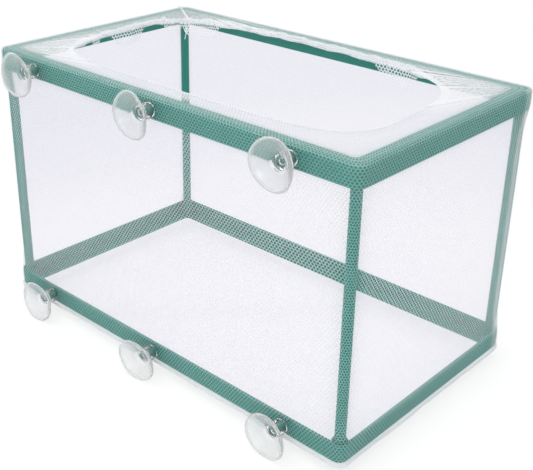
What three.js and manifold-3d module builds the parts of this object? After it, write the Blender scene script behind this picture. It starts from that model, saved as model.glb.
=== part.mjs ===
// Breeding box for a fish tank: two moulded L-section rings on four corner posts, a bag of
// fine net pulled over them, and six suction cups pushed onto pegs that stand out of the rings.
// Millimetres, +Z up. The long side with the suction cups is the front and faces -Y.
// The origin is the middle of the underside of the net floor.

import * as THREE from "three";
import { mergeVertices } from "three/addons/utils/BufferGeometryUtils.js";
import Module from "manifold-3d";

const wasm = await Module();
wasm.setup();

// Outside of the box, over the net
const boxLength = 260;
const boxDepth = 150;
const boxHeight = 155;
const boxCornerRadius = 6;

// Net bag
const netThickness = 0.5;
const netFit = 0.3;
const collarEndWidth = 21;
const collarSideWidth = 18.5;
const hemRoundnessShare = 4.5;
const elasticRadius = 0.6;
const panelOverrun = 4;

// Rings, one moulding used twice
const wallHeight = 10.8;
const wallThickness = 1.6;
const wallDraft = 0.25;
const flangeWidth = 7.7;
const flangeThickness = 1.6;
const flangeCornerRadius = 3;
const outerEdgeRadius = 0.9;
const innerEdgeRadius = 0.4;
const innerFilletRadius = 1.2;

// Corner posts and the sockets that take them
const postRadius = 2.75;
const postChamfer = 0.5;
const postFit = 0.25;
const socketWall = 1.1;
const socketLeadIn = 0.5;
const socketSetback = 0.4;
const seatGap = 0.3;

// Pegs, and the places of the suction cups along the front
const pegRadius = 1.7;
const pegBeadRadius = 2;
const pegBeadLength = 1.8;
const pegRoot = 1;
const sidePegInset = 37;
const middlePegShift = 2;

// Suction cups, measured outwards from the face of the net
const cupRadius = 12.5;
const cupReach = 13.3;
const cupDomeHeight = 4.9;
const cupHollowHeight = 3.9;
const lipThickness = 0.6;
const lipWidth = 1.2;
const headRadius = 4.2;
const headLength = 3.6;
const headEdge = 0.7;
const headGap = 0.3;
const boreReach = 5;
const neckRadius = 3.1;
const neckLength = 1.4;
const neckBlend = 0.8;
const hubRadius = 4.3;
const pegFit = 0.3;

// Counts and angles
const cornerSteps = 6;
const hemSteps = 64;
const elasticSides = 6;
const postSides = 24;
const pegSides = 16;
const cupSides = 24;
const domeSteps = 4;
const quarter = Math.PI / 2;

// What follows from the sizes above
const skin = netThickness + netFit;
const ringLength = boxLength - 2 * skin;
const ringDepth = boxDepth - 2 * skin;
const ringRadius = boxCornerRadius - skin;
const boreRadius = postRadius + postFit;
const bossRadius = boreRadius + socketWall;
const postInset = ringRadius - (ringRadius - bossRadius) * Math.SQRT1_2;
const pegHeight = wallHeight / 2;
const pegTip = boreReach - pegFit;
const sidePegDistance = boxLength / 2 - sidePegInset;

// Looks
const greenPlastic = { color: 0x388c76, roughness: 0.42, metalness: 0 };
const whiteNet = { color: 0xe4e8ea, roughness: 0.85, metalness: 0 };
const whiteElastic = { color: 0xd9dddf, roughness: 0.8, metalness: 0 };
const clearVinyl = { color: 0xdfe7e6, roughness: 0.12, metalness: 0 };

// A closed geometry as a solid that can be joined and cut.
function solidOf(geometry) {
  const bare = geometry.clone();
  bare.deleteAttribute("normal");
  bare.deleteAttribute("uv");
  const merged = mergeVertices(bare);
  return new wasm.Manifold(
    new wasm.Mesh({
      numProp: 3,
      vertProperties: merged.attributes.position.array,
      triVerts: new Uint32Array(merged.index.array),
    }),
  );
}

function geometryOf(solid) {
  const { vertProperties, triVerts } = solid.getMesh();
  const geometry = new THREE.BufferGeometry();
  geometry.setAttribute("position", new THREE.BufferAttribute(vertProperties, 3));
  geometry.setIndex(new THREE.BufferAttribute(triVerts, 1));
  geometry.computeVertexNormals();
  return geometry;
}

function mesh(name, geometry, look) {
  const made = new THREE.Mesh(geometry, new THREE.MeshStandardMaterial(look));
  made.name = name;
  return made;
}

// A flat outline raised to a height.
function raised(shape, height) {
  return new THREE.ExtrudeGeometry(shape, {
    depth: height,
    bevelEnabled: false,
    curveSegments: cornerSteps,
  });
}

// A round solid about +Z from a profile of [radius, height] pairs.
function turned(profile, sides) {
  const points = profile.map(([radius, height]) => new THREE.Vector2(radius, height));
  return new THREE.LatheGeometry(points, sides).rotateX(quarter);
}

function roundedRectangle(length, depth, radius, Kind = THREE.Shape) {
  const x = length / 2 - radius;
  const y = depth / 2 - radius;
  const outline = new Kind();
  outline.absarc(x, y, radius, 0, quarter);
  outline.absarc(-x, y, radius, quarter, 2 * quarter);
  outline.absarc(-x, -y, radius, 2 * quarter, 3 * quarter);
  outline.absarc(x, -y, radius, 3 * quarter, 4 * quarter);
  return outline;
}

// The section of the ring as [inset, height], with the flange at the bottom. The corners of
// the moulding are rounded, the flange meets the wall in a fillet and the wall has draft.
function ringSection() {
  const top = wallHeight;
  const crown = wallThickness - wallDraft;
  const points = [];
  const round = (inset, height, radius, from, steps) => {
    for (let i = 0; i <= steps; i++) {
      const angle = from + (quarter * i) / steps;
      points.push([inset + radius * Math.cos(angle), height + radius * Math.sin(angle)]);
    }
  };
  round(outerEdgeRadius, outerEdgeRadius, outerEdgeRadius, 2 * quarter, 3);
  round(flangeWidth - innerEdgeRadius, innerEdgeRadius, innerEdgeRadius, 3 * quarter, 2);
  round(flangeWidth - innerEdgeRadius, flangeThickness - innerEdgeRadius, innerEdgeRadius, 0, 2);
  for (let i = 0; i <= 2; i++) {
    const angle = 3 * quarter - (quarter * i) / 2;
    points.push([
      wallThickness + innerFilletRadius * (1 + Math.cos(angle)),
      flangeThickness + innerFilletRadius * (1 + Math.sin(angle)),
    ]);
  }
  round(crown - innerEdgeRadius, top - innerEdgeRadius, innerEdgeRadius, 0, 2);
  round(innerEdgeRadius, top - innerEdgeRadius, innerEdgeRadius, quarter, 2);
  return points;
}

// Lofts the section round the box: each of its points runs round a rounded rectangle.
function sweptRing() {
  const section = ringSection();
  const loops = section.map(([inset, height]) =>
    roundedRectangle(
      ringLength - 2 * inset,
      ringDepth - 2 * inset,
      Math.max(ringRadius - inset, flangeCornerRadius),
      THREE.Path,
    )
      .getPoints(cornerSteps)
      .map((point) => [point.x, point.y, height]),
  );
  const round = loops[0].length;
  const index = [];
  for (let row = 0; row < loops.length; row++) {
    for (let step = 0; step < round; step++) {
      const next = (step + 1) % round;
      const above = (row + 1) % loops.length;
      const [a, b] = [row * round + step, row * round + next];
      const [c, d] = [above * round + step, above * round + next];
      index.push(a, c, b, b, c, d);
    }
  }
  const geometry = new THREE.BufferGeometry();
  geometry.setAttribute("position", new THREE.Float32BufferAttribute(loops.flat(2), 3));
  geometry.setIndex(index);
  return solidOf(geometry);
}

// The four corners of the ring at the axes of the posts.
function postPlaces() {
  const x = ringLength / 2 - postInset;
  const y = ringDepth / 2 - postInset;
  return {
    front_left: [-x, -y],
    front_right: [x, -y],
    back_left: [-x, y],
    back_right: [x, y],
  };
}

// A peg with a bead at its tip, which runs from inside the wall to its rounded end.
function peg() {
  const beadEnd = skin + pegTip;
  const beadStart = beadEnd - pegBeadLength;
  const slope = pegBeadRadius - pegRadius;
  const profile = [
    [0, -pegRoot],
    [pegRadius, -pegRoot],
    [pegRadius, beadStart],
    [pegBeadRadius, beadStart + slope],
    [pegBeadRadius, beadEnd - pegBeadRadius / 2],
    [pegBeadRadius / 2, beadEnd],
    [0, beadEnd],
  ];
  return turned(profile, pegSides).rotateX(quarter);
}

// One moulding with its flange at the bottom: the swept ring, four blind sockets that open
// upwards, and three pegs on the front wall.
function ringSolid() {
  let ring = sweptRing();
  const bossTop = wallHeight - socketSetback;
  const boss = turned(
    [
      [0, flangeThickness / 2],
      [bossRadius, flangeThickness / 2],
      [bossRadius, bossTop],
      [0, bossTop],
    ],
    postSides,
  );
  const bore = turned(
    [
      [0, flangeThickness],
      [boreRadius, flangeThickness],
      [boreRadius, bossTop - socketLeadIn],
      [boreRadius + 2 * socketLeadIn, bossTop + socketLeadIn],
      [boreRadius + 2 * socketLeadIn, wallHeight + socketLeadIn],
      [0, wallHeight + socketLeadIn],
    ],
    postSides,
  );
  const outside = solidOf(
    raised(roundedRectangle(ringLength, ringDepth, ringRadius), wallHeight),
  );
  for (const [x, y] of Object.values(postPlaces())) {
    ring = ring.add(solidOf(boss.clone().translate(x, y, 0)).intersect(outside));
    ring = ring.subtract(solidOf(bore.clone().translate(x, y, 0)));
  }
  for (const x of [-sidePegDistance, -middlePegShift, sidePegDistance])
    ring = ring.add(solidOf(peg().translate(x, -ringDepth / 2, pegHeight)));
  return ring;
}

// A post with chamfered ends, which stands on the flange inside the sockets.
function post() {
  const foot = skin + flangeThickness + seatGap;
  const head = boxHeight - foot;
  return turned(
    [
      [0, foot],
      [postRadius - postChamfer, foot],
      [postRadius, foot + postChamfer],
      [postRadius, head - postChamfer],
      [postRadius - postChamfer, head],
      [0, head],
    ],
    postSides,
  );
}

// The hem of the mouth, a rectangle with well rounded corners, moved in from its line.
function hemPoints(inset) {
  const length = boxLength / 2 - collarEndWidth - inset;
  const depth = boxDepth / 2 - collarSideWidth - inset;
  const points = [];
  for (let i = 0; i < hemSteps; i++) {
    const angle = (4 * quarter * i) / hemSteps;
    const [c, s] = [Math.cos(angle), Math.sin(angle)];
    points.push(
      new THREE.Vector2(
        length * Math.sign(c) * Math.abs(c) ** (2 / hemRoundnessShare),
        depth * Math.sign(s) * Math.abs(s) ** (2 / hemRoundnessShare),
      ),
    );
  }
  return points;
}

// The side of the box that a panel of the net covers, as a wedge between two mitre lines.
function sideWedge(turn) {
  const long = turn % 2 === 0;
  const half = (long ? boxLength : boxDepth) / 2 + panelOverrun;
  const out = (long ? boxDepth : boxLength) / 2 + panelOverrun;
  const reach = Math.min(half, out) - panelOverrun;
  const gap = netFit * Math.SQRT1_2;
  const wedge = new THREE.Shape([
    new THREE.Vector2(-half + gap, -out),
    new THREE.Vector2(half - gap, -out),
    new THREE.Vector2(half - gap - reach, -out + reach),
    new THREE.Vector2(-half + gap + reach, -out + reach),
  ]);
  const geometry = raised(wedge, boxHeight + 2 * panelOverrun);
  return solidOf(geometry.translate(0, 0, -panelOverrun).rotateZ(turn * quarter));
}

// The wall of the bag, one closed sleeve, before it is shared out among the sides.
function sleeveSolid() {
  const outline = roundedRectangle(boxLength, boxDepth, boxCornerRadius);
  outline.holes.push(
    roundedRectangle(
      boxLength - 2 * netThickness,
      boxDepth - 2 * netThickness,
      boxCornerRadius - netThickness,
      THREE.Path,
    ),
  );
  const height = boxHeight - 2 * skin;
  let sleeve = solidOf(raised(outline, height).translate(0, 0, skin));
  const hole = new THREE.CylinderGeometry(
    pegBeadRadius + netFit,
    pegBeadRadius + netFit,
    2 * panelOverrun,
    pegSides,
  );
  for (const [x, z] of cupPlaces().map(({ place }) => place))
    sleeve = sleeve.subtract(solidOf(hole.clone().translate(x, -boxDepth / 2, z)));
  return sleeve;
}

// The collar, which the bag folds over the top flange and in to the hem of the mouth.
function collarSolid() {
  const outline = roundedRectangle(boxLength, boxDepth, boxCornerRadius);
  outline.holes.push(new THREE.Path(hemPoints(0)));
  return solidOf(
    raised(outline, netThickness).translate(0, 0, boxHeight - netThickness),
  );
}

function floorGeometry() {
  return raised(roundedRectangle(boxLength, boxDepth, boxCornerRadius), netThickness);
}

// The elastic thread along the hem, a closed loop of round section.
function elasticGeometry() {
  const centre = hemPoints(netFit + elasticRadius);
  const height = boxHeight - netThickness / 2;
  const positions = [];
  const index = [];
  for (let i = 0; i < hemSteps; i++) {
    const here = centre[i];
    const before = centre[(i + hemSteps - 1) % hemSteps];
    const after = centre[(i + 1) % hemSteps];
    const along = after.clone().sub(before).normalize();
    for (let j = 0; j < elasticSides; j++) {
      const angle = (4 * quarter * j) / elasticSides;
      const out = elasticRadius * Math.cos(angle);
      const up = elasticRadius * Math.sin(angle);
      positions.push(here.x + along.y * out, here.y - along.x * out, height + up);
      const nextRing = ((i + 1) % hemSteps) * elasticSides;
      const [a, b] = [i * elasticSides + j, i * elasticSides + ((j + 1) % elasticSides)];
      const [c, d] = [nextRing + j, nextRing + ((j + 1) % elasticSides)];
      index.push(a, c, b, b, c, d);
    }
  }
  const geometry = new THREE.BufferGeometry();
  geometry.setAttribute("position", new THREE.Float32BufferAttribute(positions, 3));
  geometry.setIndex(index);
  return geometry;
}

// A suction cup about +Z: the bored head that takes the peg, the neck, the hub, the dome,
// the flat lip and the hollow in front.
function cupProfile() {
  const back = headGap;
  const grooveRadius = pegBeadRadius + pegFit;
  const plainRadius = pegRadius + pegFit;
  const slope = grooveRadius - plainRadius;
  const grooveStart = pegTip - pegBeadLength - pegFit;
  const headEnd = back + headLength;
  const points = [
    [0, boreReach],
    [grooveRadius, boreReach],
    [grooveRadius, grooveStart + slope],
    [plainRadius, grooveStart],
    [plainRadius, back],
    [headRadius - headEdge, back],
    [headRadius, back + headEdge],
    [headRadius, headEnd - headEdge],
    [headRadius - headEdge, headEnd],
    [neckRadius, headEnd + neckBlend],
    [neckRadius, headEnd + neckBlend + neckLength],
  ];
  const domeEdge = cupReach - lipThickness;
  for (let i = 0; i <= domeSteps; i++) {
    const radius = hubRadius + ((cupRadius - hubRadius) * i) / domeSteps;
    const share = radius / cupRadius;
    points.push([radius, domeEdge - cupDomeHeight * (1 - share * share)]);
  }
  points.push([cupRadius, cupReach]);
  const hollowRadius = cupRadius - lipWidth;
  for (let i = domeSteps; i >= 0; i--) {
    const share = i / domeSteps;
    points.push([hollowRadius * share, cupReach - cupHollowHeight * (1 - share * share)]);
  }
  return points;
}

// The six cups: the top ring is the bottom ring turned over, so its middle peg mirrors.
function cupPlaces() {
  const low = skin + pegHeight;
  const rows = { bottom: [low, -1], top: [boxHeight - low, 1] };
  return Object.entries(rows).flatMap(([row, [z, side]]) => [
    { name: `cup_${row}_left`, place: [-sidePegDistance, z] },
    { name: `cup_${row}_middle`, place: [side * middlePegShift, z] },
    { name: `cup_${row}_right`, place: [sidePegDistance, z] },
  ]);
}

const box = new THREE.Group();

// The frame: the same ring twice, the upper one turned over, on four posts.
const ring = geometryOf(ringSolid());
const bottomRing = mesh("bottom_ring", ring, greenPlastic);
bottomRing.position.z = skin;
const topRing = mesh("top_ring", ring, greenPlastic);
topRing.position.z = boxHeight - skin;
topRing.rotation.y = 2 * quarter;
box.add(bottomRing, topRing);
for (const [corner, [x, y]] of Object.entries(postPlaces())) {
  const made = mesh(`post_${corner}`, post(), greenPlastic);
  made.position.set(x, y, 0);
  box.add(made);
}

// The bag: its floor, and the sleeve and the collar shared out among the four sides.
box.add(mesh("net_floor", floorGeometry(), whiteNet));
const sleeve = sleeveSolid();
const collar = collarSolid();
for (const [turn, side] of ["front", "right", "back", "left"].entries()) {
  const wedge = sideWedge(turn);
  box.add(mesh(`net_${side}`, geometryOf(sleeve.intersect(wedge)), whiteNet));
  box.add(mesh(`collar_${side}`, geometryOf(collar.intersect(wedge)), whiteNet));
}
box.add(mesh("hem_elastic", elasticGeometry(), whiteElastic));

// The suction cups, each on its peg and facing the glass.
for (const { name, place } of cupPlaces()) {
  const cup = mesh(name, turned(cupProfile(), cupSides), clearVinyl);
  cup.position.set(place[0], -boxDepth / 2, place[1]);
  cup.rotation.x = quarter;
  box.add(cup);
}

export default box;
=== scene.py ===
import math
import random

import bmesh
import bpy
from mathutils import Matrix, Vector


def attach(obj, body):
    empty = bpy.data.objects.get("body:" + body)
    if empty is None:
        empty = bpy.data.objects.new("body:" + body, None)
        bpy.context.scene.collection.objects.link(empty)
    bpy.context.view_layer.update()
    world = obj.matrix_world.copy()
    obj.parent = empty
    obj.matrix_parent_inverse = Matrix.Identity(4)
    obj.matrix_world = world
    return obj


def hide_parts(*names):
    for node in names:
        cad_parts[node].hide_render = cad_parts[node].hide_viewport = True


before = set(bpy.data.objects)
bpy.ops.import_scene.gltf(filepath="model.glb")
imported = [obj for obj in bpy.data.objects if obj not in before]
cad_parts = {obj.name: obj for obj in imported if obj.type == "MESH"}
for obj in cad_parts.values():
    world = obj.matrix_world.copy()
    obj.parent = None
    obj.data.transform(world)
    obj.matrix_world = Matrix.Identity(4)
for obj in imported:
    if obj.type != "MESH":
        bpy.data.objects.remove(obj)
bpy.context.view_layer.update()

mm = 0.001
scene = bpy.context.scene


# Colours are written as sRGB hex and made linear here.
def linearColour(hexColour):
    channels = [int(hexColour[i:i + 2], 16) / 255 for i in (1, 3, 5)]
    linear = [c / 12.92 if c <= 0.04045 else ((c + 0.055) / 1.055) ** 2.4 for c in channels]
    return (*linear, 1.0)


def newMaterial(name):
    material = bpy.data.materials.new(name)
    material.use_nodes = True
    material.node_tree.nodes.clear()
    return material


# Adds one node: its settings by name, and for each input a value or the output that feeds it.
def addNode(material, kind, inputs=None, **settings):
    tree = material.node_tree
    made = tree.nodes.new(kind)
    for key, value in settings.items():
        setattr(made, key, value)
    for key, value in (inputs or {}).items():
        if isinstance(value, bpy.types.NodeSocket):
            tree.links.new(value, made.inputs[key])
        else:
            made.inputs[key].default_value = value
    return made


def addBump(material, height, strength, depth, **under):
    return addNode(material, "ShaderNodeBump", {
        "Height": height, "Strength": strength, "Distance": depth * mm, **under}).outputs["Normal"]


def finishMaterial(material, shader):
    addNode(material, "ShaderNodeOutputMaterial", {"Surface": shader})
    return material


ringPlastic = {
    "colour": "#117d70",
    "deepColour": "#0e7265",
    "roughness": 0.36,
    "smoother": 0.04,
    "rougher": 0.06,
    "ior": 1.49,
    "mottleSize": 14.0,
    "mottleDetail": 2.0,
    "grainSize": 0.35,
    "grainDetail": 1.0,
    "grainStrength": 0.35,
    "grainDepth": 0.012,
}


# Injection moulded polypropylene: an even satin teal, with a faint flow mottle and the fine
# grain of the tool.
def makeRingPlastic():
    m = newMaterial("mouldedPolypropyleneTeal")
    place = addNode(m, "ShaderNodeTexCoord").outputs["Object"]
    mottle = addNode(m, "ShaderNodeTexNoise", {
        "Vector": place, "Scale": 1 / (ringPlastic["mottleSize"] * mm),
        "Detail": ringPlastic["mottleDetail"]})
    grain = addNode(m, "ShaderNodeTexNoise", {
        "Vector": place, "Scale": 1 / (ringPlastic["grainSize"] * mm),
        "Detail": ringPlastic["grainDetail"]})
    colour = addNode(m, "ShaderNodeMix", {
        0: mottle.outputs["Fac"],
        6: linearColour(ringPlastic["deepColour"]),
        7: linearColour(ringPlastic["colour"])}, data_type="RGBA")
    rough = addNode(m, "ShaderNodeMapRange", {
        "Value": mottle.outputs["Fac"],
        "To Min": ringPlastic["roughness"] - ringPlastic["smoother"],
        "To Max": ringPlastic["roughness"] + ringPlastic["rougher"]})
    bump = addBump(m, grain.outputs["Fac"], ringPlastic["grainStrength"], ringPlastic["grainDepth"])
    shader = addNode(m, "ShaderNodeBsdfPrincipled", {
        "Base Color": colour.outputs[2], "Roughness": rough.outputs["Result"],
        "IOR": ringPlastic["ior"], "Normal": bump})
    return finishMaterial(m, shader.outputs[0])


netWeave = {
    "pitch": 2.0,
    "rowPitch": 1.43,
    "holeWidth": 1.3,
    "holeHeight": 1.15,
    "edgeSoftness": 0.03,
    "filamentPitch": 0.13,
    "threadColour": "#fafafc",
    "holeTint": "#fcfbfe",
    "lightThrough": 0.78,
    "gatheredLightThrough": 0.55,
    "threadOpacity": 0.48,
    "gatheredOpacity": 0.93,
    "sheen": 0.25,
    "sheenRoughness": 0.4,
    "pleatDepth": 0.8,
    "furrowFrom": 0.55,
    "pleatsFrom": 0.45,
    "pleatsFull": 0.8,
    "pleatClosing": 0.6,
    "foldStrength": 0.5,
    "foldDepth": 0.6,
    "threadStrength": 0.2,
    "threadDepth": 0.1,
    "roughness": 0.5,
    "ior": 1.53,
}


# Knitted nylon mesh: round holes between threads of a few clear white filaments, which let
# the light and what lies behind them through. The pattern follows the cloth's map in metres,
# with every second row of holes half a pitch to the side.
# The gather map gives the angle of the pleats and how closely the cloth is gathered there:
# the pleats are streaks in which the holes close up and the cloth whitens.
def makeNet(name, opacity, lightThrough, closing=0.0, threadColour=netWeave["threadColour"]):
    m = newMaterial(name)
    cloth = addNode(m, "ShaderNodeUVMap", uv_map="clothMap").outputs[0]
    gather = addNode(m, "ShaderNodeSeparateXYZ", {
        0: addNode(m, "ShaderNodeUVMap", uv_map="gatherMap").outputs[0]})
    cell = (netWeave["pitch"], 2 * netWeave["rowPitch"])
    squeeze = (cell[0] / netWeave["holeWidth"], cell[1] / netWeave["holeHeight"], 0)
    distances = []
    for shift in (0.0, 0.5):
        counted = addNode(m, "ShaderNodeVectorMath", {
            0: cloth, 1: (1000 / cell[0], 1000 / cell[1], 0), 2: (shift, shift, 0)},
            operation="MULTIPLY_ADD")
        share = addNode(m, "ShaderNodeVectorMath", {0: counted.outputs[0]}, operation="FRACTION")
        centred = addNode(m, "ShaderNodeVectorMath", {
            0: share.outputs[0], 1: (0.5, 0.5, 0)}, operation="SUBTRACT")
        scaled = addNode(m, "ShaderNodeVectorMath", {
            0: centred.outputs[0], 1: squeeze}, operation="MULTIPLY")
        distances.append(addNode(m, "ShaderNodeVectorMath", {
            0: scaled.outputs[0]}, operation="LENGTH").outputs["Value"])
    nearest = addNode(m, "ShaderNodeMath", {0: distances[0], 1: distances[1]}, operation="MINIMUM")
    wave = addNode(m, "ShaderNodeMath", {0: gather.outputs["X"]}, operation="SINE")
    furrow = addNode(m, "ShaderNodeMapRange", {
        "Value": wave.outputs[0], "From Min": netWeave["furrowFrom"],
        "To Max": netWeave["pleatDepth"]}, interpolation_type="SMOOTHSTEP")
    pleated = addNode(m, "ShaderNodeMapRange", {
        "Value": gather.outputs["Y"], "From Min": netWeave["pleatsFrom"],
        "From Max": netWeave["pleatsFull"]})
    furrowed = addNode(m, "ShaderNodeMath", {
        0: furrow.outputs[0], 1: pleated.outputs[0]}, operation="MULTIPLY")
    crest = addNode(m, "ShaderNodeMath", {0: 1.0, 1: furrowed.outputs[0]}, operation="SUBTRACT")
    pleat = addNode(m, "ShaderNodeMath", {
        0: crest.outputs[0], 1: gather.outputs["Y"]}, operation="MULTIPLY")
    closed = addNode(m, "ShaderNodeMath", {
        0: pleat.outputs[0], 1: netWeave["pleatClosing"], 2: nearest.outputs[0]},
        operation="MULTIPLY_ADD")
    holeRadius = 0.5
    thread = addNode(m, "ShaderNodeMapRange", {
        "Value": closed.outputs[0],
        "From Min": holeRadius - netWeave["edgeSoftness"] - closing,
        "From Max": holeRadius + netWeave["edgeSoftness"] - closing},
        interpolation_type="SMOOTHSTEP")
    half = netWeave["filamentPitch"] / netWeave["holeWidth"] / 2
    cover = addNode(m, "ShaderNodeMapRange", {
        "Value": pleat.outputs[0], "To Min": opacity * half,
        "To Max": netWeave["gatheredOpacity"] * half})
    fromFilament = addNode(m, "ShaderNodeMath", {
        0: nearest.outputs[0], 1: half}, operation="PINGPONG")
    onFilament = addNode(m, "ShaderNodeMath", {
        0: fromFilament.outputs[0], 1: cover.outputs["Result"]}, operation="LESS_THAN")
    shown = addNode(m, "ShaderNodeMath", {
        0: thread.outputs["Result"], 1: onFilament.outputs[0]}, operation="MULTIPLY")
    folds = addBump(m, pleat.outputs[0], netWeave["foldStrength"], netWeave["foldDepth"])
    bump = addBump(m, nearest.outputs[0], netWeave["threadStrength"], netWeave["threadDepth"],
                   Normal=folds)
    colour = linearColour(threadColour)
    face = addNode(m, "ShaderNodeBsdfPrincipled", {
        "Base Color": colour, "Roughness": netWeave["roughness"], "IOR": netWeave["ior"],
        "Sheen Weight": netWeave["sheen"], "Sheen Roughness": netWeave["sheenRoughness"],
        "Normal": bump})
    glow = addNode(m, "ShaderNodeBsdfTranslucent", {"Color": colour})
    through = addNode(m, "ShaderNodeMapRange", {
        "Value": pleat.outputs[0], "To Min": lightThrough,
        "To Max": netWeave["gatheredLightThrough"]})
    filament = addNode(m, "ShaderNodeMixShader", {
        0: through.outputs["Result"], 1: face.outputs[0], 2: glow.outputs[0]})
    hole = addNode(m, "ShaderNodeBsdfTransparent", {"Color": linearColour(netWeave["holeTint"])})
    mixed = addNode(m, "ShaderNodeMixShader", {
        0: shown.outputs[0], 1: hole.outputs[0], 2: filament.outputs[0]})
    return finishMaterial(m, mixed.outputs[0])


# Reaches are in millimetres from the cup's axis.
clearVinyl = {
    "ior": 1.5,
    "roughness": 0.14,
    "hubRoughness": 0.07,
    "roughReach": (4.2, 6.0),
    "milkReach": (4.0, 5.5),
    "rimReach": (11.2, 12.3),
    "waveScale": 260.0,
    "waveDetail": 1.0,
    "waveStrength": 0.15,
    "waveDepth": 0.1,
    "milkShare": 0.15,
    "hubMilkShare": 0.05,
    "rimMilkShare": 0.34,
    "throughShare": 0.6,
    "colour": "#fcfdfd",
    "milkColour": "#f9fafb",
}


# Soft clear PVC, moulded: a satin skin that blurs what lies behind it, with a little milk
# in it that shows most in the thick rim.
def makeVinyl():
    m = newMaterial("clearSoftVinyl")
    place = addNode(m, "ShaderNodeTexCoord").outputs["Object"]
    waves = addNode(m, "ShaderNodeTexNoise", {
        "Vector": place, "Scale": clearVinyl["waveScale"], "Detail": clearVinyl["waveDetail"]})
    bump = addBump(m, waves.outputs["Fac"], clearVinyl["waveStrength"], clearVinyl["waveDepth"])
    fromAxis = addNode(m, "ShaderNodeAttribute", attribute_name="fromAxis").outputs["Fac"]

    def outwards(reach, least, most):
        return addNode(m, "ShaderNodeMapRange", {
            "Value": fromAxis, "From Min": reach[0], "From Max": reach[1],
            "To Min": least, "To Max": most}).outputs["Result"]

    rough = outwards(clearVinyl["roughReach"], clearVinyl["hubRoughness"], clearVinyl["roughness"])
    clear = addNode(m, "ShaderNodeBsdfPrincipled", {
        "Base Color": linearColour(clearVinyl["colour"]), "Roughness": rough,
        "IOR": clearVinyl["ior"], "Transmission Weight": 1.0, "Normal": bump})
    milkColour = linearColour(clearVinyl["milkColour"])
    milk = addNode(m, "ShaderNodeMixShader", {
        0: clearVinyl["throughShare"],
        1: addNode(m, "ShaderNodeBsdfDiffuse", {"Color": milkColour}).outputs[0],
        2: addNode(m, "ShaderNodeBsdfTranslucent", {"Color": milkColour}).outputs[0]})
    milky = addNode(m, "ShaderNodeMath", {
        0: outwards(clearVinyl["milkReach"], clearVinyl["hubMilkShare"], clearVinyl["milkShare"]),
        1: outwards(clearVinyl["rimReach"], 0.0, clearVinyl["rimMilkShare"])}, operation="ADD")
    mixed = addNode(m, "ShaderNodeMixShader", {
        0: milky.outputs[0], 1: clear.outputs[0], 2: milk.outputs[0]})
    return finishMaterial(m, mixed.outputs[0])


yarn = {
    "colour": "#eef1f3",
    "elasticColour": "#d9dddf",
    "twistScale": 700.0,
    "twistDistortion": 2.0,
    "twistStrength": 0.4,
    "twistDepth": 0.05,
    "roughness": 0.7,
    "ior": 1.5,
}


# Polyester yarn, loose or spun round the elastic: matt white with a fine twist along it.
def makeYarn(name, colour):
    m = newMaterial(name)
    place = addNode(m, "ShaderNodeTexCoord").outputs["Object"]
    twist = addNode(m, "ShaderNodeTexWave", {
        "Vector": place, "Scale": yarn["twistScale"], "Distortion": yarn["twistDistortion"]})
    shader = addNode(m, "ShaderNodeBsdfPrincipled", {
        "Base Color": linearColour(colour), "Roughness": yarn["roughness"], "IOR": yarn["ior"],
        "Normal": addBump(m, twist.outputs["Fac"], yarn["twistStrength"], yarn["twistDepth"])})
    return finishMaterial(m, shader.outputs[0])


plasticMaterial = makeRingPlastic()
netMaterial = makeNet("knittedNylonMesh", netWeave["threadOpacity"], netWeave["lightThrough"])
doubledNetMaterial = makeNet("doubledNylonMesh", opacity=0.8, lightThrough=0.6, closing=0.3,
                             threadColour="#f5f7f7")
frayedNetMaterial = makeNet("frayedNylonMesh", opacity=0.75, lightThrough=0.35)
vinylMaterial = makeVinyl()
yarnMaterial = makeYarn("whitePolyesterYarn", yarn["colour"])
elasticMaterial = makeYarn("coveredElasticYarn", yarn["elasticColour"])

for name in ("bottom_ring", "top_ring", "post_front_left", "post_front_right",
             "post_back_left", "post_back_right"):
    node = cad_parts[name]
    node.data.materials.clear()
    node.data.materials.append(plasticMaterial)
print("frame dressed")

weldReach = 0.01


# A grid of unit squares moved into place: shape(across, along) gives a point in millimetres
# for shares 0 to 1 of the grid's width and length. Each map gives a pair of numbers for
# the same shares and the middle of the face that they are wanted for.
def shapedGrid(name, steps, shape, maps, material, body="frame"):
    grid = bmesh.new()
    layers = {key: grid.loops.layers.uv.new(key) for key in maps}
    bmesh.ops.create_grid(grid, x_segments=steps[0], y_segments=steps[1], size=0.5)
    shares = {vertex: (vertex.co.x + 0.5, vertex.co.y + 0.5) for vertex in grid.verts}
    for face in grid.faces:
        middle = face.calc_center_median()
        for loop in face.loops:
            for key, layer in layers.items():
                loop[layer].uv = maps[key](*shares[loop.vert], middle.x + 0.5)
        face.smooth = True
    for vertex, (across, along) in shares.items():
        vertex.co = Vector(shape(across, along)) * mm
    bmesh.ops.remove_doubles(grid, verts=grid.verts, dist=weldReach * mm)
    return meshPiece(name, grid, material, body)


def meshObject(name, made, material):
    mesh = bpy.data.meshes.new(name)
    made.to_mesh(mesh)
    made.free()
    mesh.materials.append(material)
    shown = bpy.data.objects.new(name, mesh)
    scene.collection.objects.link(shown)
    return shown


def meshPiece(name, made, material, body="frame"):
    piece = meshObject(name, made, material)
    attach(piece, body)
    return piece


def smoothStep(low, high, value):
    t = min(max((value - low) / (high - low), 0.0), 1.0)
    return t * t * (3 - 2 * t)


def flatMap(width, length):
    return lambda across, along, middle: (across * width * mm, along * length * mm)


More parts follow.
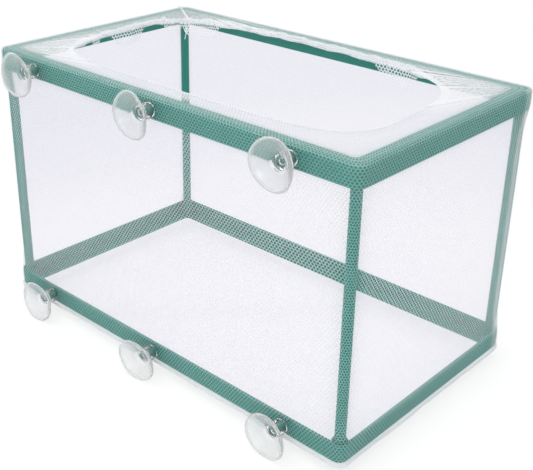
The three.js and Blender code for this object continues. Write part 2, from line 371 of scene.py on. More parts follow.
# The net bag in millimetres. Its strip runs up from the floor: wall, fold over the ring,
# collar, roll round the elastic and the edge tucked back below. Between the rings the wall
# is drawn in, over a reach that widens away from the posts.
bag = {
    "length": 260.0, "depth": 150.0, "height": 155.0, "cornerRadius": 6.0,
    "skin": 0.25,
    "seamHeight": 0.8,
    "ringEdge": 12.0,
    "drawIn": 1.75, "drawReach": (8, 30), "drawWidens": (0, 45),
    "drawEasing": 0.45, "drawEases": (5, 60),
    "foldRadius": 1.2, "foldWidth": 2.0,
    "collarWidth": 18.5,
    "hemHalfLength": 109.0, "hemHalfDepth": 56.5, "hemRoundness": 4.5, "hemSteps": 400,
    "hemRadius": 0.6,
    "gatherReach": (70.0, 60.0), "gatherCurve": 1.5,
    "tuckedWidth": 4.0, "tuckDrop": 0.3,
    "columns": 640,
    "wallRows": 20, "foldRows": 4, "collarRows": 18, "hemRows": 5, "tuckRows": 3,
}
halfLength = bag["length"] / 2
halfDepth = bag["depth"] / 2
straight = (bag["length"] - 2 * bag["cornerRadius"], bag["depth"] - 2 * bag["cornerRadius"])
cornerArc = math.pi / 2 * bag["cornerRadius"]
bagRound = 2 * sum(straight) + 4 * cornerArc
clothTop = bag["height"] - bag["skin"]

# Where the elastic pulls the mouth out of its even shape: place along the strip, spread
# and how far inwards, from the back left corner and anticlockwise as seen from above.
hemPulls = ((540, 38, 7.0), (695, 48, -4.4), (122, 22, 3.5), (45, 14, -2.5))


def aroundBag(length, centre):
    return (length - centre + bagRound / 2) % bagRound - bagRound / 2


def humps(length, places):
    return sum(depth * math.exp(-0.5 * (aroundBag(length, centre) / spread) ** 2)
               for centre, spread, depth in places)


# The point and outward direction at a length along the bag's outline, from the back left
# corner's middle and anticlockwise as seen from above, with the side and the place on it.
def outlineAt(length):
    length %= bagRound
    sides = (
        ((-1, 0), (0, -1), 1, halfLength), ((0, -1), (1, 0), 0, halfDepth),
        ((1, 0), (0, 1), 1, halfLength), ((0, 1), (-1, 0), 0, halfDepth),
    )
    for outward, forward, kind, out in sides:
        run = straight[kind] + cornerArc
        if length <= run:
            along = length - run / 2
            r = bag["cornerRadius"]
            over = abs(along) - straight[kind] / 2
            n, f = Vector(outward), Vector(forward)
            if over <= 0:
                return n * out + f * along, n, outward, along
            turn = math.copysign(over / r, along)
            direction = n * math.cos(turn) + f * math.sin(turn)
            centre = n * (out - r) + f * math.copysign(straight[kind] / 2, along)
            return centre + direction * r, direction, outward, along
        length -= run
    return outlineAt(0.0)


# The hem's quarter as points with the length run so far, from the middle of a long side
# (front or back) to the middle of a short one, with the run to its corner and in all.
def hemQuarter():
    a, b, n = bag["hemHalfLength"], bag["hemHalfDepth"], bag["hemRoundness"]
    steps = bag["hemSteps"]
    points, run = [], 0.0
    for i in range(steps + 1):
        angle = math.pi / 2 * i / steps
        x, y = a * math.sin(angle) ** (2 / n), b * math.cos(angle) ** (2 / n)
        if points:
            run += math.dist(points[-1][:2], (x, y))
        points.append((x, y, run))
    diagonal = min(range(1, steps), key=lambda i: abs(
        (points[i][0] / a) ** (n - 1) / a - (points[i][1] / b) ** (n - 1) / b))
    return points, points[diagonal][2], run


quarterPoints, longRun, quarterRun = hemQuarter()


def hemAt(run):
    low, high = 0, len(quarterPoints) - 1
    while high - low > 1:
        middle = (low + high) // 2
        if quarterPoints[middle][2] < run:
            low = middle
        else:
            high = middle
    p, q = quarterPoints[low], quarterPoints[high]
    share = (run - p[2]) / max(q[2] - p[2], 1e-9)
    return p[0] + (q[0] - p[0]) * share, p[1] + (q[1] - p[1]) * share


# How the edge of the mouth hangs: tight at the front and right, loose and ragged at the
# back and left. The ruffle is least where the hem is tight and far from a corner.
hemHang = {
    "looseReach": (-15, 55), "slant": 0.35, "shift": 12,
    "ruffle": 0.1, "cornerRuffle": 0.22, "tightShare": 0.25, "ruffleFrom": 0.3,
}


def looseness(point):
    return smoothStep(*hemHang["looseReach"],
                      point.y - hemHang["slant"] * point.x - hemHang["shift"])


# Uneven waves along the hem: the ruffle goes up and down, the wobble in and out.
def ruffle(length):
    return (
        math.sin(2 * math.pi * length / 5.4 + 1.9 * math.sin(2 * math.pi * length / 31))
        + 0.55 * math.sin(2 * math.pi * length / 3.3 + 2.4 * math.sin(length / 17))
        + 0.35 * math.sin(2 * math.pi * length / 11.3 + 0.7)
    )


def wobble(length):
    return 0.5 * math.sin(length / 6.1) + 0.35 * math.sin(length / 2.7 + 1)


# What the rows of the collar and hem need at one length along the strip: where the collar
# starts and ends, the direction between, the lift of the hem and its looseness.
def hemFrame(length):
    point, direction, outward, along = outlineAt(length)
    long = outward[0] == 0
    kind = 0 if long else 1
    half = (straight[kind] + cornerArc) / 2
    excess = half - (longRun if long else quarterRun - longRun)
    begin = half - bag["gatherReach"][kind]
    share = max(abs(along) - begin, 0.0) / (half - begin)
    run = abs(along) - excess * share ** bag["gatherCurve"]
    x, y = hemAt(run if long else quarterRun - run)
    hem = Vector((math.copysign(x, point.x), math.copysign(y, point.y)))
    start = point - direction * (bag["skin"] + bag["foldRadius"])
    inward = (hem - start).normalized()
    loose = looseness(hem)
    hem += inward * (humps(length, hemPulls) - loose * wobble(length))
    tight = hemHang["tightShare"]
    swing = (ruffle(length) * (hemHang["ruffle"] + hemHang["cornerRuffle"] * share)
             * (tight + (1 - tight) * loose))
    return start, hem, inward, swing, loose


frames = {}


def hemFrameKept(length):
    key = round(length % bagRound, 4)
    if key not in frames:
        frames[key] = hemFrame(length)
    return frames[key]


# How closely the collar is pleated in a fan at each corner, by whether the corner is to the
# right and at the back.
cornerFans = {(False, False): 1.0, (True, False): 0.12, (True, True): 1.0, (False, True): 0.1}

# How much spare cloth lies on the ring: more at the back and left, and most in two places
# there, each given as its place along the strip, spread and share.
clothSlack = {
    "least": 0.32, "behind": 0.17, "behindReach": (-60, 60), "from": (0, 0.08),
    "places": ((756, 17, 0.4), (716, 16, 0.12)),
}

# Where the pleats lie: the fan's angles in radians from each side, its reach and inset from
# the ring's edge in millimetres, and the hem's as a share of the collar's width.
pleats = {
    "perRadian": 88, "drift": 0.02,
    "fanFrom": (0.02, 0.3), "fanTo": (0.02, 0.4),
    "nearReach": (6, 20), "farReach": (60, 95),
    "insetReach": (3, 14), "edgeShare": 0.3,
    "hemReach": (0.6, 1.0), "hemTight": 0.12, "hemLoose": 0.5,
}


def slackAt(length, at):
    behind = smoothStep(*clothSlack["behindReach"], at.y - at.x * halfDepth / halfLength)
    return clothSlack["least"] + clothSlack["behind"] * behind + humps(length, clothSlack["places"])


# The angle round the nearest corner of the ring, and how closely the cloth is pleated
# there: most where the elastic draws it in from the corner.
def pleatsAt(length, at, corner, inwardShare, loose):
    reach = Vector((corner.x - at.x, corner.y - at.y))
    away = reach.length
    angle = math.atan2(abs(reach.y), abs(reach.x))
    fan = (smoothStep(*pleats["fanFrom"], angle)
           * smoothStep(*pleats["fanTo"], math.pi / 2 - angle))
    near = smoothStep(*pleats["nearReach"], away) * (1 - smoothStep(*pleats["farReach"], away))
    edge = (smoothStep(*pleats["hemReach"], inwardShare)
            * (pleats["hemTight"] + pleats["hemLoose"] * loose))
    streaks = (angle * pleats["perRadian"] + 2.2 * math.sin(angle * 13)
               + 1.1 * math.sin(angle * 29) + pleats["drift"] * away)
    inset = min(halfLength - abs(at.x), halfDepth - abs(at.y))
    least = pleats["edgeShare"]
    share = cornerFans[corner.x > 0, corner.y > 0] * (
        least + (1 - least) * smoothStep(*pleats["insetReach"], inset))
    slack = slackAt(length, at) * smoothStep(*clothSlack["from"], inwardShare)
    return streaks, min(max(share * fan * near, edge, slack), 1.0)


# How much the wall is drawn in at a height: not where a ring stands behind it.
def drawnAt(z, reach):
    low, high = bag["ringEdge"], bag["ringEdge"] + reach
    return smoothStep(low, high, z) * smoothStep(low, high, bag["height"] - z)


bagRows = (bag["wallRows"] + bag["foldRows"] + bag["collarRows"]
           + bag["hemRows"] + bag["tuckRows"])


def bagShape(across, along):
    length = across * bagRound
    row = along * bagRows
    if row <= bag["wallRows"] + bag["foldRows"]:
        point, direction, outward, place = outlineAt(length)
    if row <= bag["wallRows"]:
        share = row / bag["wallRows"]
        low, high = bag["seamHeight"], clothTop - bag["foldRadius"]
        z = low + (high - low) * share
        kind = 0 if outward[0] == 0 else 1
        fromCorner = max(straight[kind] / 2 - abs(place), 0.0)
        least, more = bag["drawReach"]
        drawn = drawnAt(z, least + more * smoothStep(*bag["drawWidens"], fromCorner))
        eased = 1 - bag["drawEasing"] * smoothStep(*bag["drawEases"], fromCorner)
        at = point - direction * (bag["skin"] + bag["drawIn"] * drawn * eased)
        return at.x, at.y, z
    row -= bag["wallRows"]
    if row <= bag["foldRows"]:
        angle = math.pi / 2 * row / bag["foldRows"]
        at = point - direction * (bag["skin"] + bag["foldRadius"] * (1 - math.cos(angle)))
        return at.x, at.y, clothTop - bag["foldRadius"] * (1 - math.sin(angle))
    row -= bag["foldRows"]
    start, hem, inward, swing, loose = hemFrameKept(length)
    if row <= bag["collarRows"]:
        share = row / bag["collarRows"]
        at = start.lerp(hem, share)
        return at.x, at.y, clothTop + swing * smoothStep(hemHang["ruffleFrom"], 1.0, share)
    row -= bag["collarRows"]
    r = bag["hemRadius"]
    if row <= bag["hemRows"]:
        angle = math.pi * row / bag["hemRows"]
        at = hem + inward * (r * math.sin(angle))
        return at.x, at.y, clothTop + swing - r * (1 - math.cos(angle))
    row -= bag["hemRows"]
    share = row / bag["tuckRows"]
    at = hem - inward * bag["tuckedWidth"] * share
    return at.x, at.y, clothTop - 2 * r - bag["tuckDrop"] * share + swing


rowSizes = (
    (bag["wallRows"], bag["height"] - bag["foldWidth"]),
    (bag["foldRows"], bag["foldWidth"]),
    (bag["collarRows"], bag["collarWidth"]),
    (bag["hemRows"], math.pi * bag["hemRadius"]),
    (bag["tuckRows"], bag["tuckedWidth"]),
)


# The cloth's length up the strip at each row, so that the mesh pattern isn't stretched.
def bagCloth(across, along, middle):
    row, total = along * bagRows, 0.0
    for count, size in rowSizes:
        if row <= count:
            return across * bagRound * mm, (total + size * row / count) * mm
        row -= count
        total += size
    return across * bagRound * mm, total * mm


def cornerOf(length):
    point = outlineAt(length)[0]
    return Vector((math.copysign(halfLength, point.x), math.copysign(halfDepth, point.y)))


# How closely the wall is bunched on each post, by whether it is to the right and at the back,
# and how far from the post that fades.
cornerBunches = {(False, False): 0.1, (True, False): 0.0, (True, True): 0.5, (False, True): 0.14}
bunchReach = (7, 11)


def bagGather(across, along, middle):
    row = along * bagRows - bag["wallRows"] - bag["foldRows"]
    length = across * bagRound
    if row < 0:
        point, direction, outward, place = outlineAt(length)
        side = straight[0 if outward[0] == 0 else 1]
        away = abs((side + cornerArc) / 2 - abs(place))
        bunch = cornerBunches[point.x > 0, point.y > 0]
        return 0.0, bunch * (1 - smoothStep(*bunchReach, away))
    start, hem, inward, swing, loose = hemFrameKept(length)
    share = min(row / bag["collarRows"], 1.0)
    return pleatsAt(length, start.lerp(hem, share), cornerOf(middle * bagRound), share, loose)


netBag = shapedGrid("netBagWall", (bag["columns"], bagRows), bagShape,
                    {"clothMap": bagCloth, "gatherMap": bagGather}, netMaterial)
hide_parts("net_front", "net_right", "net_back", "net_left",
            "collar_front", "collar_right", "collar_back", "collar_left")
print("bag wall and collar made")

floorNet = {
    "columns": 104, "rows": 60, "height": 0.25, "edgeGap": 0.25,
    "ripple": 0.18, "rippleLengths": (19, 13),
}


def floorShape(across, along):
    y = (along - 0.5) * (bag["depth"] - 2 * floorNet["edgeGap"])
    over = abs(y) - (halfDepth - bag["cornerRadius"])
    half = halfLength - floorNet["edgeGap"]
    if over > 0:
        half -= bag["cornerRadius"] - math.sqrt(max(bag["cornerRadius"] ** 2 - over ** 2, 0.0))
    x = (2 * across - 1) * half
    long, short = floorNet["rippleLengths"]
    z = floorNet["height"] + floorNet["ripple"] * math.sin(x / long) * math.sin(y / short + 1)
    return x, y, z


netFloor = shapedGrid("netBagFloor", (floorNet["columns"], floorNet["rows"]), floorShape,
                      {"clothMap": flatMap(bag["length"], bag["depth"])}, netMaterial)
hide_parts("net_floor")
print("bag floor made")

# The raw edge of the strip is turned over the elastic and left loose along the back and
# left: part lies on the collar as a ragged band, and part hangs into the mouth as tabs.
# Both run from the right of the back, past the back left corner, to the front left one.
# Patches and tabs are given as place along the strip, spread and width.
rawEdge = {
    "from": 585.0, "to": bagRound + 165.0, "columns": 420, "measures": 400,
    "bandRows": 8, "bandWidth": 3.7, "bandLeast": 0.8, "bandRagged": 1.6, "bandEnds": (40, 60),
    "bandPatches": ((778, 2.3, 5.5), (760, 4.2, 4.8), (24, 2.6, 5.5), (620, 12, 2.0),
                    (800, 4, 2.0)),
    "bandLift": 0.3, "bandOverlap": 0.5, "bandCurl": 0.55, "bandCalm": 0.6,
    "tabRows": 8, "tabWidth": 1.3, "tabLeast": 0.3, "tabRagged": 0.15, "tabEnds": (20, 30),
    "tabs": ((98, 3.2, 3.0), (67, 7.5, 8.4), (12, 9.0, 4.5), (795, 6.0, 6.5),
             (776, 7.0, 6.5), (622, 9.0, 7.5)),
    "tabFlank": (2.2, 1.0), "tabOut": 0.35, "tabWave": 0.5, "tabBelow": 0.4,
    "tabStretch": 1.2,
}


def rawLength(across):
    return rawEdge["from"] + (rawEdge["to"] - rawEdge["from"]) * across


def ragged(length):
    return (0.5 * math.sin(length / 3.7 + 2 * math.sin(length / 13))
            + 0.3 * math.sin(length / 1.6 + 1.2) + 0.2 * math.sin(length / 0.8))


def towardsEnds(length, first, last):
    return (smoothStep(0, first, length - rawEdge["from"])
            * smoothStep(0, last, rawEdge["to"] - length))


def bandWidth(length):
    least = rawEdge["bandLeast"]
    width = (rawEdge["bandWidth"] + humps(length, rawEdge["bandPatches"])
             + rawEdge["bandRagged"] * ragged(length))
    return least + max(width - least, 0.2) * towardsEnds(length, *rawEdge["bandEnds"])


def bandShape(across, along):
    length = rawLength(across)
    hem, inward, swing = hemFrameKept(length)[1:4]
    at = hem - inward * (bandWidth(length) * along - rawEdge["bandOverlap"])
    curl = rawEdge["bandCurl"] * along ** 3 * (1 + ragged(length * 1.3))
    calm = 1 - rawEdge["bandCalm"] * along
    return at.x, at.y, clothTop + rawEdge["bandLift"] + swing * calm + curl


def tabWidth(length):
    width = rawEdge["tabWidth"] + sum(
        depth * smoothStep(*rawEdge["tabFlank"], abs(aroundBag(length, centre)) / spread)
        for centre, spread, depth in rawEdge["tabs"])
    uneven = 1 + rawEdge["tabRagged"] * ragged(length * 1.7)
    return max(width * uneven * towardsEnds(length, *rawEdge["tabEnds"]), rawEdge["tabLeast"])


def tabShape(across, along):
    length = rawLength(across)
    hem, inward, swing = hemFrameKept(length)[1:4]
    drop = tabWidth(length) * along
    wave = rawEdge["tabWave"] * along * math.sin(length / 4.1)
    at = hem + inward * (bag["hemRadius"] + rawEdge["tabOut"] + wave)
    return at.x, at.y, clothTop - rawEdge["tabBelow"] + swing * (1 - along) - drop


# The tabs' loose loops are drawn wide, so their map is smaller than the cloth by that stretch.
def edgeMap(widthAt, stretch=1.0):
    return lambda across, along, middle: (
        rawLength(across) * mm / stretch, widthAt(rawLength(across)) * along * mm / stretch)


def rawSheet(widthAt):
    run, steps = rawEdge["to"] - rawEdge["from"], rawEdge["measures"]
    widths = [widthAt(rawEdge["from"] + run * i / steps) for i in range(steps + 1)]


hemBand = shapedGrid("hemRaggedBand", (rawEdge["columns"], rawEdge["bandRows"]), bandShape,
                     {"clothMap": edgeMap(bandWidth)}, doubledNetMaterial)
hemTabs = shapedGrid("hemHangingTabs", (rawEdge["columns"], rawEdge["tabRows"]), tabShape,
                     {"clothMap": edgeMap(tabWidth, rawEdge["tabStretch"])}, frayedNetMaterial)
rawSheet(bandWidth)
rawSheet(tabWidth)


# A cord that runs along a closed or open line given by lineAt(share) in millimetres. Where
# the line stands upright, its side is a fixed one.
def runCord(name, lineAt, radius, steps, sides, material, closed=False, flatten=(1.0, 1.0)):
    step = 0.5 / steps
    maps = {"clothMap": flatMap(bagRound, 2 * math.pi * radius)}

    def around(share):
        return share % 1 if closed else min(max(share, 0.0), 1.0)

    def shape(across, along):
        here = Vector(lineAt(across))
        ahead, behind = (Vector(lineAt(around(across + by))) for by in (step, -step))
        forward = (ahead - behind).normalized()
        side = forward.cross(Vector((0, 0, 1)))
        side = side.normalized() if side.length > 0.05 else Vector((0.7, 0.7, 0.0))
        up = side.cross(forward)
        angle = -2 * math.pi * along
        return (here + side * (radius * flatten[0] * math.cos(angle))
                + up * (radius * flatten[1] * math.sin(angle)))

    return shapedGrid(name, (steps, sides), shape, maps, material)


hemElastic = {"radius": 0.36, "steps": 560, "sides": 8}


def elasticLine(share):
    start, hem, inward, swing, loose = hemFrameKept(share * bagRound)
    return hem.x, hem.y, clothTop + swing - bag["hemRadius"]


elastic = runCord("hemElasticThread", elasticLine, **hemElastic, material=elasticMaterial,
                  closed=True)
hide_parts("hem_elastic")

# The seam that joins the floor to the wall stands out all round as a thin rolled edge.
bottomSeam = {"radius": 1.0, "steps": 520, "sides": 10, "flatten": (0.35, 1.1)}
bottomSeamPlace = {"out": 0.15, "outWave": 0.12, "height": 0.1, "wave": 0.25, "ripple": 0.12}


def floorSeamLine(share):
    length = share * bagRound
    point, direction = outlineAt(length)[:2]
    place = bottomSeamPlace
    at = point + direction * (place["out"] + place["outWave"] * math.sin(length / 7.0))
    return at.x, at.y, (place["height"] + place["wave"] * math.sin(length / 11.0 + 1)
                        + place["ripple"] * math.sin(length / 3.1))


floorSeam = runCord("floorSeamAllowance", floorSeamLine, **bottomSeam,
                    material=doubledNetMaterial, closed=True)

# The strip's one side seam stands up the back left corner and crosses the ring to the hem.
sideSeam = {
    "radius": 0.72, "steps": 90, "sides": 10, "flatten": (1.0, 0.5),
    "foot": 3.5, "end": -12.0, "rise": 0.72, "low": 1.0, "drawReach": 10,
    "out": 0.3, "outWave": 0.2, "ringOut": 0.2, "ringLift": 0.3,
}


def sideSeamLine(share):
    point, direction = outlineAt(sideSeam["foot"])[:2]
    hem = hemFrameKept(sideSeam["end"])[1]
    if share <= sideSeam["rise"]:
        z = sideSeam["low"] + (clothTop - sideSeam["low"]) * (share / sideSeam["rise"])
        drawn = bag["drawIn"] * drawnAt(z, sideSeam["drawReach"])
        at = point + direction * (sideSeam["out"] - drawn + sideSeam["outWave"] * math.sin(z / 5))
        return at.x, at.y, z
    part = (share - sideSeam["rise"]) / (1 - sideSeam["rise"])
    at = (point + direction * sideSeam["ringOut"]).lerp(hem, part)
    lift = sideSeam["ringLift"]
    return at.x, at.y, clothTop + lift * math.sin(part * math.pi) + lift * smoothStep(0, 0.1, part)


seam = runCord("sideSeamAllowance", sideSeamLine, sideSeam["radius"], sideSeam["steps"],
               sideSeam["sides"], doubledNetMaterial, flatten=sideSeam["flatten"])

# Threads that have come loose from the raw edge, and one that hangs down with a knot in it.
looseThreads = {
    "seed": 7, "count": 34, "radius": 0.14, "steps": 12, "sides": 5,
    "places": ((790, 14), (812, 12), (770, 12), (95, 10), (60, 16), (625, 12), (24, 10)),
    "below": 0.3, "reach": (1.5, 5.0), "turn": (-1.2, 1.2), "curl": (0.5, 1.6),
    "drop": (0.1, 0.9), "lift": 0.9, "outShare": 0.6,
}


def threadLine(base, out, reach, curl, drop, phase):
    side = Vector((-out.y, out.x, 0.0))

    def line(share):
        swerve = curl * (math.sin(phase + 4 * share) - math.sin(phase))
        fall = looseThreads["lift"] * math.sin(3 * share) - reach * drop * share
        onward = reach * looseThreads["outShare"] * share
        return base + out * onward + side * swerve + Vector((0, 0, fall))

    return line


def makeThreads():
    chance = random.Random(looseThreads["seed"])
    made = []
    for i in range(looseThreads["count"]):
        centre, spread = looseThreads["places"][i % len(looseThreads["places"])]
        length = centre + chance.uniform(-spread, spread)
        hem, inward, swing = hemFrameKept(length)[1:4]
        base = Vector((hem.x, hem.y, clothTop + swing - looseThreads["below"]))
        reach, turn = (chance.uniform(*looseThreads[key]) for key in ("reach", "turn"))
        out = Vector((inward.x * math.cos(turn) - inward.y * math.sin(turn),
                      inward.x * math.sin(turn) + inward.y * math.cos(turn), 0.0))
        curl, drop = (chance.uniform(*looseThreads[key]) for key in ("curl", "drop"))
        line = threadLine(base, out, reach, curl, drop, chance.uniform(0, 6))
        made.append(runCord("looseThread%02d" % i, line, looseThreads["radius"],
                            looseThreads["steps"], looseThreads["sides"], yarnMaterial))
    return made


# The knotted thread that hangs in front of the back left post.
knottedThread = {
    "radius": 0.2, "steps": 60, "sides": 6,
    "place": 803.0, "start": (1.0, -1.0, -0.6), "length": 11.0, "bend": 0.9,
    "knot": ((0.35, 0.4), (0.6, 0.65)), "knotRadius": 0.9, "knotHeight": 0.8, "turns": 2.5,
}


def knottedLine(share):
    hem = hemFrameKept(knottedThread["place"])[1]
    first, last = knottedThread["knot"]
    knotted = smoothStep(*first, share) * (1 - smoothStep(*last, share))
    loop = 2 * math.pi * knottedThread["turns"] * (share - first[0]) / (last[1] - first[0])
    ring = knottedThread["knotRadius"] * knotted
    x, y, z = knottedThread["start"]
    return (hem.x + x + ring * math.cos(loop) + knottedThread["bend"] * math.sin(share * 4),
            hem.y + y + ring * math.sin(loop),
            clothTop + z - knottedThread["length"] * share
            + knottedThread["knotHeight"] * knotted * math.sin(loop * 1.3))


threads = makeThreads()
threads.append(runCord("knottedThread", knottedLine, knottedThread["radius"],
                       knottedThread["steps"], knottedThread["sides"], yarnMaterial))
print("hem and seams made")

# The suction cup in millimetres, turned about its axis: a bored head that clips over the peg's
# bead, a neck, and a thin bell with a recess in its middle and a rounded lip.
suctionCup = {
    "radius": 12.5, "reach": 13.3, "sides": 72,
    "boreReach": 5.0, "boreRadius": 1.95, "boreEntry": 1.65, "boreStep": (2.9, 2.6),
    "boreEdge": 0.4,
    "headGap": 0.3, "headRadius": 4.2, "headLength": 3.6, "headEdge": 0.7, "headBevel": 0.2,
    "neckRadius": 3.1, "neckLength": 1.4, "neckBlend": 0.8, "hubRadius": 4.3,
    "domeHeight": 6.5, "domeCurve": 1.8, "domeSteps": 12, "wallThickness": (1.6, 0.75),
    "lipThickness": 0.6, "lipWidth": 1.0, "lipBulge": 0.15,
    "recess": (3.9, 0.7), "recessEdge": 0.5, "weld": 0.001,
}
# Each cup's place, and how far its soft rim leans right and up and bends in two folds.
cupPlaces = {
    "cup_top_left": ((-93, 148.8), (-0.7, 0.1, -0.2, 0.55)),
    "cup_top_middle": ((2, 148.8), (0.4, 0.3, 0.8, 0.4)),
    "cup_top_right": ((93, 148.8), (-0.2, -0.25, 0.8, -0.4)),
    "cup_bottom_left": ((-93, 6.2), (-0.7, -0.15, -0.3, 0.1)),
    "cup_bottom_middle": ((-2, 6.2), (-1.3, 1.0, -0.3, 0.1)),
    "cup_bottom_right": ((93, 6.2), (0.05, 0.1, 0.4, 0.1)),
}


def cupProfile():
    c = suctionCup
    headEnd = c["headGap"] + c["headLength"]
    inner, outer = c["boreStep"]
    edge, bevel = c["boreEdge"], c["headBevel"]
    points = [
        (0, c["boreReach"]), (c["boreRadius"] - edge, c["boreReach"]),
        (c["boreRadius"], c["boreReach"] - edge), (c["boreRadius"], inner),
        (c["boreEntry"], outer), (c["boreEntry"], c["headGap"]),
        (c["headRadius"] - c["headEdge"], c["headGap"]),
        (c["headRadius"] - bevel, c["headGap"] + bevel),
        (c["headRadius"], c["headGap"] + c["headEdge"]),
        (c["headRadius"], headEnd - c["headEdge"]),
        (c["headRadius"] - bevel, headEnd - bevel),
        (c["headRadius"] - c["headEdge"], headEnd),
        (c["neckRadius"], headEnd + c["neckBlend"]),
        (c["neckRadius"], headEnd + c["neckBlend"] + c["neckLength"]),
    ]
    domeEdge = c["reach"] - c["lipThickness"]

    def outside(radius):
        return domeEdge - c["domeHeight"] * (1 - (radius / c["radius"]) ** c["domeCurve"])

    for i in range(c["domeSteps"] + 1):
        radius = c["hubRadius"] + (c["radius"] - c["hubRadius"]) * i / c["domeSteps"]
        points.append((radius, outside(radius)))
    points.append((c["radius"] + c["lipBulge"], domeEdge + c["lipThickness"] / 2))
    points.append((c["radius"], c["reach"]))
    hollow = c["radius"] - c["lipWidth"]
    recess, depth = c["recess"]
    edge = c["recessEdge"]
    thick, thin = c["wallThickness"]
    for i in range(c["domeSteps"], -1, -1):
        share = i / c["domeSteps"]
        radius = recess + edge + (hollow - recess - edge) * share
        points.append((radius, outside(radius) + thick + (thin - thick) * share))
    floor = outside(recess) + thick - depth
    return points + [(recess + 0.1, floor + 0.25), (recess - 0.3, floor), (0, floor)]


def makeCup(name, place, flex):
    cup = bmesh.new()
    line = [cup.verts.new((radius * mm, 0, height * mm)) for radius, height in cupProfile()]
    for a, b in zip(line, line[1:]):
        cup.edges.new((a, b))
    bmesh.ops.spin(cup, geom=cup.verts[:] + cup.edges[:], cent=(0, 0, 0), axis=(0, 0, 1),
                   angle=2 * math.pi, steps=suctionCup["sides"], use_merge=True)
    bmesh.ops.remove_doubles(cup, verts=cup.verts, dist=suctionCup["weld"] * mm)
    bmesh.ops.recalc_face_normals(cup, faces=cup.faces)
    # The material reads each vertex's distance from the axis in millimetres.
    fromAxis = cup.verts.layers.float.new("fromAxis")
    right, up, foldAcross, foldAslant = flex
    for face in cup.faces:
        face.smooth = True
    for vertex in cup.verts:
        angle = math.atan2(vertex.co.y, vertex.co.x)
        vertex[fromAxis] = vertex.co.xy.length / mm
        share = vertex.co.xy.length / (suctionCup["radius"] * mm)
        if vertex.co.z < suctionCup["boreReach"] * mm:
            share = 0.0
        lean = right * math.cos(angle) + up * math.sin(angle)
        fold = foldAcross * math.cos(2 * angle) + foldAslant * math.sin(2 * angle)
        vertex.co.z += (lean * share + fold * share ** 2) * mm
    stand = Matrix.Translation((place[0] * mm, -halfDepth * mm, place[1] * mm))
    faceFront = Matrix.Rotation(math.pi / 2, 4, "X")
    bmesh.ops.transform(cup, matrix=stand @ faceFront, verts=cup.verts)
    pieceName = "clear" + name.title().replace("_", "")
    piece = meshPiece(pieceName, cup, vinylMaterial, name)
    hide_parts(name)
    return piece


for cupName, (place, flex) in cupPlaces.items():
    makeCup(cupName, place, flex)
print("suction cups made")

# The paper lies just below the lowest cups, and its reaches are in metres from the middle.
studio = {
    "floorHeight": -6.6, "floorSize": 6000.0,
    "paper": "#f4f4f4", "shadowShare": 0.3, "shadowReach": (0.15, 0.28),
    # The paper's pale grey away from the object is a painted shade, shown only through the mesh.
    "paintedShadeGrey": "#eeeff5", "paintedShadeReach": (0.16, 0.62), "paintedShadeSlant": 0.6,
    "worldStrength": 1.0, "aimHeight": 70.0,
    "cameraPlace": (336.685, -369.185, 301.051),
    "azimuth": 43.277, "elevation": 24.949, "roll": 0.446,
    "focalPixels": 947.737, "imageSize": (533, 470), "principal": (234.752, 209.811),
    "sensorWidth": 36.0, "clip": (0.01, 20.0),
}


# 1 for the rays that show the background: the camera's own, and those that the cups mirror or
# let through.
def shownTo(material, path):
    mirrored = addNode(material, "ShaderNodeMath", {
        0: path.outputs["Is Camera Ray"], 1: path.outputs["Is Glossy Ray"]}, operation="MAXIMUM")
    return addNode(material, "ShaderNodeMath", {
        0: mirrored.outputs[0], 1: path.outputs["Is Transmission Ray"]},
        operation="MAXIMUM").outputs[0]


# White seamless paper: shown as plain white, darker in the object's own shadow, and with a painted
# shade where it is seen through the mesh.
def makePaper():
    m = newMaterial("whiteSeamlessPaper")
    path = addNode(m, "ShaderNodeLightPath")
    paper = addNode(m, "ShaderNodeBsdfDiffuse", {"Color": linearColour(studio["paper"])})
    place = addNode(m, "ShaderNodeTexCoord").outputs["Object"]
    away = addNode(m, "ShaderNodeVectorMath", {0: place}, operation="LENGTH")
    # Painted shade: the paper's emission falls off to a painted pale grey away from the object and
    # to the left. Seen past the object it is cut out as plain white, and its painted grey shows
    # only through the mesh, where it shades the mesh walls in front of it.
    sideways = addNode(m, "ShaderNodeMath", {
        0: addNode(m, "ShaderNodeSeparateXYZ", {0: place}).outputs["X"],
        1: -studio["paintedShadeSlant"], 2: away.outputs["Value"]}, operation="MULTIPLY_ADD")
    paintedShadeFallOff = addNode(m, "ShaderNodeMapRange", {
        "Value": sideways.outputs[0], "From Min": studio["paintedShadeReach"][0],
        "From Max": studio["paintedShadeReach"][1]})
    # Painted shade: only rays that have passed the mesh see the grey.
    inMesh = addNode(m, "ShaderNodeMath", {
        0: path.outputs["Transparent Depth"], 1: 0.5}, operation="GREATER_THAN")
    grey = addNode(m, "ShaderNodeMath", {
        0: paintedShadeFallOff.outputs["Result"], 1: inMesh.outputs[0]}, operation="MULTIPLY")
    shown = addNode(m, "ShaderNodeMix", {
        0: grey.outputs[0], 6: (1, 1, 1, 1), 7: linearColour(studio["paintedShadeGrey"])},
        data_type="RGBA")
    light = addNode(m, "ShaderNodeEmission", {"Color": shown.outputs[2], "Strength": 1.0})
    plain = addNode(m, "ShaderNodeMapRange", {
        "Value": away.outputs["Value"], "From Min": studio["shadowReach"][0],
        "From Max": studio["shadowReach"][1], "To Min": 1 - studio["shadowShare"]})
    share = addNode(m, "ShaderNodeMath", {
        0: shownTo(m, path), 1: plain.outputs["Result"]}, operation="MULTIPLY")
    mixed = addNode(m, "ShaderNodeMixShader", {
        0: share.outputs[0], 1: paper.outputs[0], 2: light.outputs[0]})
    return finishMaterial(m, mixed.outputs[0])


def makeStudioFloor():
    made = bmesh.new()
    bmesh.ops.create_grid(made, x_segments=1, y_segments=1, size=studio["floorSize"] * mm / 2)
    bmesh.ops.translate(made, verts=made.verts, vec=(0, 0, studio["floorHeight"] * mm))
    meshObject("studioFloor", made, makePaper())


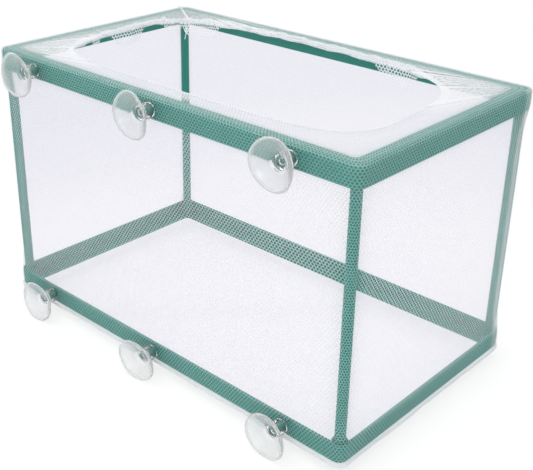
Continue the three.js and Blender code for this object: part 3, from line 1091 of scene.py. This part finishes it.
def makeWorld():
    world = bpy.data.worlds.new("studioWorld")
    scene.world = world
    world.use_nodes = True
    tree = world.node_tree
    tree.nodes.clear()
    strength = addNode(world, "ShaderNodeMapRange", {
        "Value": shownTo(world, addNode(world, "ShaderNodeLightPath")),
        "To Min": studio["worldStrength"], "To Max": 1.0})
    back = addNode(world, "ShaderNodeBackground", {
        "Color": (1, 1, 1, 1), "Strength": strength.outputs["Result"]})
    addNode(world, "ShaderNodeOutputWorld", {"Surface": back.outputs[0]})


# Places and sizes are in millimetres, powers in watts.
softLights = {
    "overheadPanel": {"place": (-100, -250, 900), "size": 700, "power": 3.5},
    "frontPanel": {"place": (500, -900, 500), "size": 600, "power": 2.0},
}


def makeLights():
    for name, light in softLights.items():
        data = bpy.data.lights.new(name, "AREA")
        data.size = light["size"] * mm
        data.energy = light["power"]
        lamp = bpy.data.objects.new(name, data)
        scene.collection.objects.link(lamp)
        lamp.location = Vector(light["place"]) * mm
        aim = Vector((0, 0, studio["aimHeight"])) * mm - lamp.location
        lamp.rotation_euler = aim.to_track_quat("-Z", "Y").to_euler()


# The camera as fitted to the photograph, with its principal point off the middle.
def makeCamera():
    azimuth, elevation, roll = (math.radians(studio[k]) for k in ("azimuth", "elevation", "roll"))
    back = Vector((math.sin(azimuth) * math.cos(elevation),
                   -math.cos(azimuth) * math.cos(elevation), math.sin(elevation)))
    right = Vector((math.cos(azimuth), math.sin(azimuth), 0))
    up = back.cross(right)
    right, up = (right * math.cos(roll) + up * math.sin(roll),
                 up * math.cos(roll) - right * math.sin(roll))
    data = bpy.data.cameras.new("photoCamera")
    camera = bpy.data.objects.new("photoCamera", data)
    scene.collection.objects.link(camera)
    rows = Matrix((right, up, back)).transposed().to_4x4()
    camera.matrix_world = Matrix.Translation(Vector(studio["cameraPlace"]) * mm) @ rows
    width, height = studio["imageSize"]
    data.sensor_fit = "HORIZONTAL"
    data.sensor_width = studio["sensorWidth"]
    data.lens = studio["focalPixels"] * data.sensor_width / width
    data.shift_x = 0.5 - studio["principal"][0] / width
    data.shift_y = (studio["principal"][1] - height / 2) / width
    data.clip_start, data.clip_end = studio["clip"]
    scene.camera = camera


makeStudioFloor()
makeWorld()
makeLights()
makeCamera()
scene.view_settings.view_transform = "Standard"
# A ray can pass many layers of mesh.
scene.cycles.transparent_max_bounces = 32
print("studio made")
